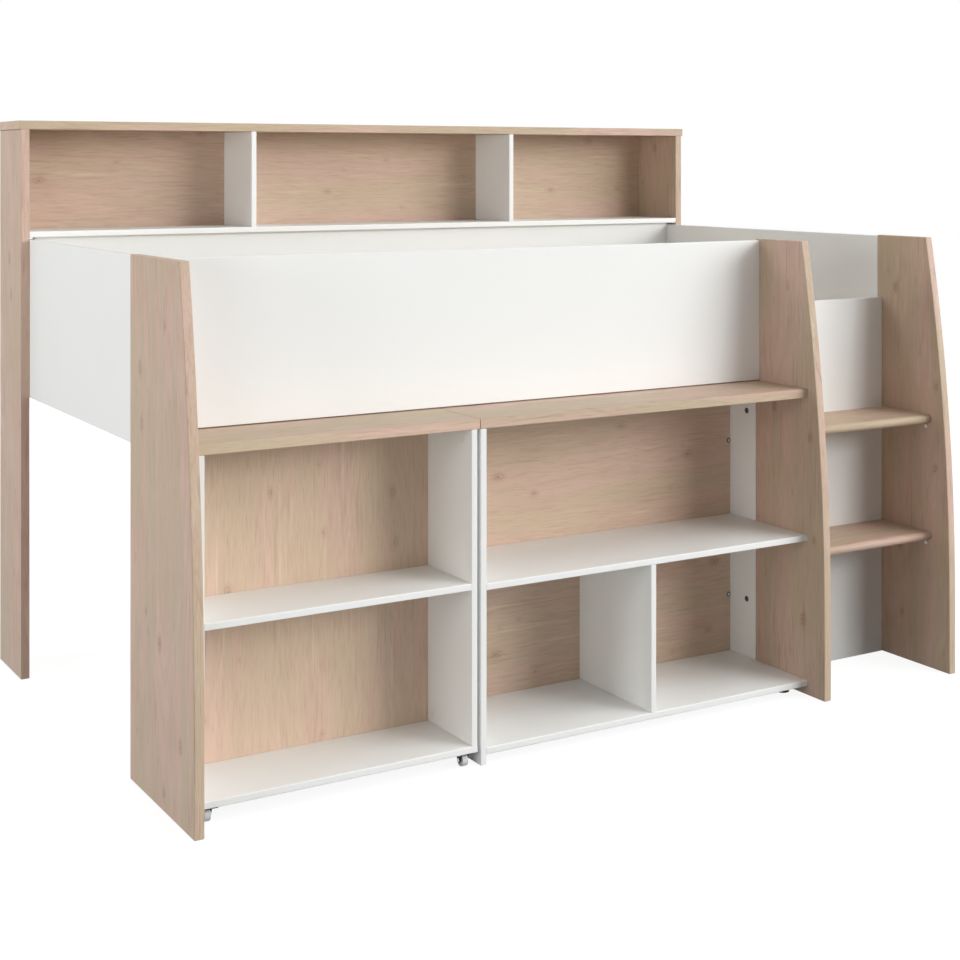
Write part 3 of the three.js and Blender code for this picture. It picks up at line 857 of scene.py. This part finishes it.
@dataclass
class SlattedBase:
    """Thirteen loose slats on two ledges."""

    ledges: tuple[str, ...] = ("slat_ledge_front", "slat_ledge_back")
    count: int = 13

    def build(self) -> None:
        """Give slats and ledges their own grain directions."""
        for node in self.ledges:
            dress(node, PINE_ALONG)
        for number in range(1, self.count + 1):
            dress(f"slat_{number:02d}", PLANED_PINE)


@dataclass
class BackShelf:
    """The long shelf along the back."""

    white: tuple[str, ...] = (
        "back_shelf_bottom",
        "back_shelf_divider_left",
        "back_shelf_divider_right",
    )

    def build(self) -> None:
        """Give the top and the backing their grain, and the rest its white."""
        dress("back_shelf_top", OAK_SHELF_TOP)
        dress("back_shelf_panel", OAK_BACKING)
        for node in self.white:
            dress(node, WHITE_MELAMINE)


@dataclass
class Bookcase:
    """The fixed bookcase under the middle of the bed, with the cams and pins of both its sides."""

    white: tuple[str, ...] = (
        "bookcase_side",
        "bookcase_strip",
        "bookcase_shelf",
        "bookcase_bottom",
        "bookcase_divider",
    )
    glides: tuple[str, ...] = ("bookcase_glide_front", "bookcase_glide_rear")
    cam_heights_mm: tuple[float, ...] = (667.0, 184.0)
    cam_setback_mm: float = 65.4
    pin_heights_mm: tuple[float, ...] = (582.0, 182.0)
    pin_inset_mm: float = 6.6
    cam: Fastening = field(
        default_factory=lambda: Fastening(
            "cam_housing",
            [(0, -0.5), (7.3, -0.5), (7.3, 0.35), (6.9, 0.7), (0, 0.7)],
            CAST_ZINC,
            Slot.ZINC_STEEL,
            recess_mm=(3.6, 1.6, 0.6),
        )
    )
    # Painted shade: the black ring round each white pin head stands where the shadow gap round the
    # head falls.
    ring: Fastening = field(
        default_factory=lambda: Fastening(
            "back_pin_shade_ring",
            [(0, -0.5), (6.0, -0.5), (6.0, 0.6), (5.6, 1.0), (4.2, 1.0), (3.9, 0.4), (0, 0.4)],
            BLACK_POLYPROPYLENE,
            Slot.BLACK_PLASTIC,
        )
    )
    pin: Fastening = field(
        default_factory=lambda: Fastening(
            "back_pin_head",
            [(0, 0.2), (3.3, 0.2), (3.3, 1.4), (2.7, 2.2), (1.5, 2.7), (0, 2.8)],
            WHITE_POLYSTYRENE,
            Slot.WHITE_PLASTIC,
        )
    )

    def build(self) -> None:
        """Give each board and glide its finish, and set the fastenings."""
        dress("bookcase_top", PRINTED_OAK)
        dress("bookcase_back", OAK_BOOKCASE_BACK)
        for node in self.white:
            dress(node, WHITE_MELAMINE)
        for node in self.glides:
            dress(node, BLACK_POLYPROPYLENE)
        strip_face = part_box("bookcase_strip")[0][0] / MM
        side_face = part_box("bookcase_side")[1][0] / MM
        back_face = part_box("bookcase_back")[0][1] / MM
        cam_y = back_face - self.cam_setback_mm
        for level, z in zip(("upper", "lower"), self.cam_heights_mm):
            self.cam.set_at(f"right_{level}", LEFTWARD, (strip_face, cam_y, z), Body.BED_FRAME)
            self.cam.set_at(f"left_{level}", RIGHTWARD, (side_face, cam_y, z), Body.BED_FRAME)
        right_x, left_x = strip_face - self.pin_inset_mm, side_face + self.pin_inset_mm
        for level, z in zip(("upper", "lower"), self.pin_heights_mm):
            for side, x in (("right", right_x), ("left", left_x)):
                self.ring.set_at(f"{side}_{level}", FORWARD, (x, back_face, z), Body.BED_FRAME)
                self.pin.set_at(f"{side}_{level}", FORWARD, (x, back_face, z), Body.BED_FRAME)


@dataclass
class RollingDesk:
    """The desk unit on four castors, with its cam caps and castor screws."""

    white: tuple[str, ...] = ("desk_side_left", "desk_side_right", "desk_shelf", "desk_bottom")
    corners: tuple[str, ...] = ("front_left", "front_right", "rear_left", "rear_right")
    cap_places_mm: tuple[Pair, ...] = ((-580.0, 701.0), (-450.0, 68.0))
    plate_mm: float = 2.0
    screw_inset_mm: float = 5.5
    cap: Fastening = field(
        default_factory=lambda: Fastening(
            "desk_cam_cap",
            [(0, -0.5), (8.2, -0.5), (8.2, 0.4), (7.6, 0.9), (4.0, 1.15), (0, 1.2)],
            WHITE_POLYSTYRENE,
            Slot.WHITE_PLASTIC,
        )
    )
    screw: Fastening = field(
        default_factory=lambda: Fastening(
            "castor_screw",
            [
                (0, -1.5),
                (1.8, -1.5),
                (1.8, 0.05),
                (3.6, 0.05),
                (3.5, 0.8),
                (2.9, 1.5),
                (1.6, 1.9),
                (0, 2.0),
            ],
            ZINC_PLATED_STEEL,
            Slot.ZINC_STEEL,
            recess_mm=(1.7, 0.7, 1.1),
        )
    )

    def build(self) -> None:
        """Give each board and castor its finish, and set caps and screws."""
        dress("desk_top", OAK_DESK_TOP)
        dress("desk_back", OAK_DESK_BACK)
        for node in self.white:
            dress(node, WHITE_MELAMINE)
        right_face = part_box("desk_side_right")[0][0] / MM
        left_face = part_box("desk_side_left")[1][0] / MM
        for level, (y, z) in zip(("upper", "lower"), self.cap_places_mm):
            self.cap.set_at(f"right_{level}", LEFTWARD, (right_face, y, z), Body.DESK_UNIT)
            self.cap.set_at(f"left_{level}", RIGHTWARD, (left_face, y, z), Body.DESK_UNIT)
        for corner in self.corners:
            self.build_castor(corner)

    def build_castor(self, corner: str) -> None:
        """Dress one castor and screw its plate to the board above."""
        dress(f"castor_bracket_{corner}", BLACK_COATED_STEEL)
        dress(f"castor_axle_{corner}", ZINC_PLATED_STEEL)
        dress(f"castor_wheel_{corner}", GREY_NYLON)
        low, high = (Vector(point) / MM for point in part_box(f"castor_bracket_{corner}"))
        inset = self.screw_inset_mm
        z = high.z - self.plate_mm
        places = product((low.x + inset, high.x - inset), (low.y + inset, high.y - inset))
        for number, (x, y) in enumerate(places, start=1):
            self.screw.set_at(f"{corner}_{number}", DOWNWARD, (x, y, z), Body.DESK_UNIT)


# Studio


@dataclass(frozen=True)
class Glow:
    """One soft source of the studio's surroundings, brightest in its direction."""

    turn_degrees: float
    height_degrees: float
    power: float
    strength: float

    def direction(self) -> Vector:
        """Give the way to the glow's middle; a turn of 0 is +X and 270 is the front."""
        turn, height = math.radians(self.turn_degrees), math.radians(self.height_degrees)
        level = math.cos(height)
        return Vector((level * math.cos(turn), level * math.sin(turn), math.sin(height)))


@dataclass(frozen=True)
class SoftBox:
    """One square lamp of the studio, aimed at the middle of the object."""

    place: str
    spot_m: Point
    share: float
    side_m: float = 1.6
    aim_m: Point = (0.0, -0.2, 0.6)
    watts_at_one_metre: float = 10.0

    def build(self) -> None:
        """Hang the lamp, as bright at the object as its share says, from any distance."""
        data = bpy.data.lights.new(f"soft_box_{self.place}", "AREA")
        data.shape, data.size = "SQUARE", self.side_m
        way = Vector(self.aim_m) - Vector(self.spot_m)
        data.energy = self.watts_at_one_metre * way.length_squared * self.share
        lamp = bpy.data.objects.new(data.name, data)
        lamp.location = Vector(self.spot_m)
        lamp.rotation_euler = way.to_track_quat("-Z", "Y").to_euler()
        lamp.visible_camera = lamp.visible_glossy = False
        bpy.context.scene.collection.objects.link(lamp)
        LOG.info("%s: %.1f W", data.name, data.energy)


@dataclass
class Studio:
    """A plain pale floor, soft surroundings and the photograph's camera."""

    eye_mm: Point = (-2166.97, -3686.38, 1303.73)
    heading_degrees: float = 30.65
    focal_px: float = 1649.24
    horizon_px: float = 162.57
    sensor_mm: float = 36.0
    clip_m: Pair = (0.05, 200.0)
    least_toward: float = 0.0001
    floor_half_m: float = 40.0
    floor_drop_mm: float = 0.2
    floor_white: float = 0.9
    floor_shadow: float = 0.16
    floor_bounce: str = "#595959"
    glows: tuple[Glow, ...] = (
        Glow(turn_degrees=320.0, height_degrees=8.0, power=12.0, strength=5.54),
        Glow(turn_degrees=300.0, height_degrees=66.0, power=12.0, strength=2.69),
        Glow(turn_degrees=60.0, height_degrees=14.0, power=3.0, strength=0.8),
    )
    soft_boxes: tuple[SoftBox, ...] = (
        SoftBox("front_left", (-4.0, -3.5, 0.5), 0.13),
        SoftBox("left", (-6.0, -2.0, 1.5), 0.205),
        SoftBox("rear_left", (-4.5, 1.0, 2.5), 0.305),
        SoftBox("right", (3.0, -3.0, 2.2), 0.155),
        SoftBox("far_right", (3.0, -5.5, 2.5), 0.225),
        SoftBox("rear", (0.3, 5.5, 2.2), 0.45),
    )

    def build_camera(self) -> None:
        """Set the level camera, whose view is shifted down as the photograph's is."""
        data = bpy.data.cameras.new("photo_camera")
        data.sensor_width = self.sensor_mm
        data.lens = self.focal_px / PHOTO_SIDE * self.sensor_mm
        data.shift_y = (self.horizon_px - PHOTO_SIDE / 2) / PHOTO_SIDE
        data.clip_start, data.clip_end = self.clip_m
        camera = bpy.data.objects.new("photo_camera", data)
        camera.location = Vector(self.eye_mm) * MM
        camera.rotation_euler = (math.radians(90.0), 0.0, math.radians(-self.heading_degrees))
        bpy.context.scene.collection.objects.link(camera)
        bpy.context.scene.camera = camera
        LOG.info("camera: %.2f mm lens, shift %.4f", data.lens, data.shift_y)

    def seen_directly(self, tree: Tree) -> Socket:
        """Give 1 for rays of camera, mirrors and glass, and 0 for rays that carry light."""
        path = add_node(tree, "ShaderNodeLightPath").node.outputs
        either = {0: path["Is Camera Ray"], 1: path["Is Glossy Ray"]}
        seen = add_node(tree, "ShaderNodeMath", either, operation="MAXIMUM")
        either = {0: seen, 1: path["Is Transmission Ray"]}
        return add_node(tree, "ShaderNodeMath", either, operation="MAXIMUM")

    def build_surroundings(self) -> None:
        """Build the white surroundings, whose light comes from a few soft glows."""
        world = bpy.data.worlds.new("soft_studio")
        world.use_nodes = True
        tree = world.node_tree
        tree.nodes.clear()
        ray = add_node(tree, "ShaderNodeTexCoord", out="Generated")
        total: float | Socket = 0.0
        for glow in self.glows:
            ways = {0: ray, 1: glow.direction()}
            toward = add_node(tree, "ShaderNodeVectorMath", ways, "Value", operation="DOT_PRODUCT")
            least = {0: toward, 1: self.least_toward}
            lit = add_node(tree, "ShaderNodeMath", least, operation="MAXIMUM")
            lobe = add_node(tree, "ShaderNodeMath", {0: lit, 1: glow.power}, operation="POWER")
            summed = {0: lobe, 1: glow.strength, 2: total}
            total = add_node(tree, "ShaderNodeMath", summed, operation="MULTIPLY_ADD")
        light = add_node(tree, "ShaderNodeBackground", {"Color": WHITE, "Strength": total})
        white = add_node(tree, "ShaderNodeBackground", {"Color": WHITE, "Strength": 1.0})
        views = {0: self.seen_directly(tree), 1: light, 2: white}
        mixed = add_node(tree, "ShaderNodeMixShader", views)
        add_node(tree, "ShaderNodeOutputWorld", {"Surface": mixed})
        bpy.context.scene.world = world

    def build_floor(self) -> None:
        """Build the pale floor, which shows white and keeps the object's shadow."""
        half = self.floor_half_m
        drop = -self.floor_drop_mm * MM
        mesh = bpy.data.meshes.new("floor")
        corners = [(x * half, y * half, drop) for x, y in ((-1, -1), (1, -1), (1, 1), (-1, 1))]
        mesh.from_pydata(corners, [], [(0, 1, 2, 3)])
        paint = bpy.data.materials.new("pale_matt_floor")
        paint.use_nodes = True
        tree = paint.node_tree
        tree.nodes.clear()
        bounce = add_node(tree, "ShaderNodeBsdfDiffuse", {"Color": linear(self.floor_bounce)})
        grey = (self.floor_shadow,) * 3 + (1.0,)
        shade = add_node(tree, "ShaderNodeBsdfDiffuse", {"Color": grey})
        white = add_node(tree, "ShaderNodeEmission", {"Color": WHITE, "Strength": self.floor_white})
        bright = add_node(tree, "ShaderNodeAddShader", {0: shade, 1: white})
        views = {0: self.seen_directly(tree), 1: bounce, 2: bright}
        mixed = add_node(tree, "ShaderNodeMixShader", views)
        add_node(tree, "ShaderNodeOutputMaterial", {"Surface": mixed})
        mesh.materials.append(paint)
        floor = bpy.data.objects.new("floor", mesh)
        bpy.context.scene.collection.objects.link(floor)

    def build(self) -> None:
        """Build camera, surroundings, floor and lamps, with colours shown as written."""
        bpy.context.scene.view_settings.view_transform = "Standard"
        self.build_camera()
        self.build_surroundings()
        self.build_floor()
        for box in self.soft_boxes:
            box.build()


def main() -> None:
    """Build every sub-assembly in order, then the studio."""
    logging.basicConfig(level=logging.INFO, format="%(name)s: %(message)s")
    for assembly in (Uprights, BedPanels, Ladder, SlattedBase, BackShelf, Bookcase, RollingDesk):
        assembly().build()
        LOG.info("%s: built", assembly.__name__)
    Studio().build()


if __name__ == "__main__":
    main()
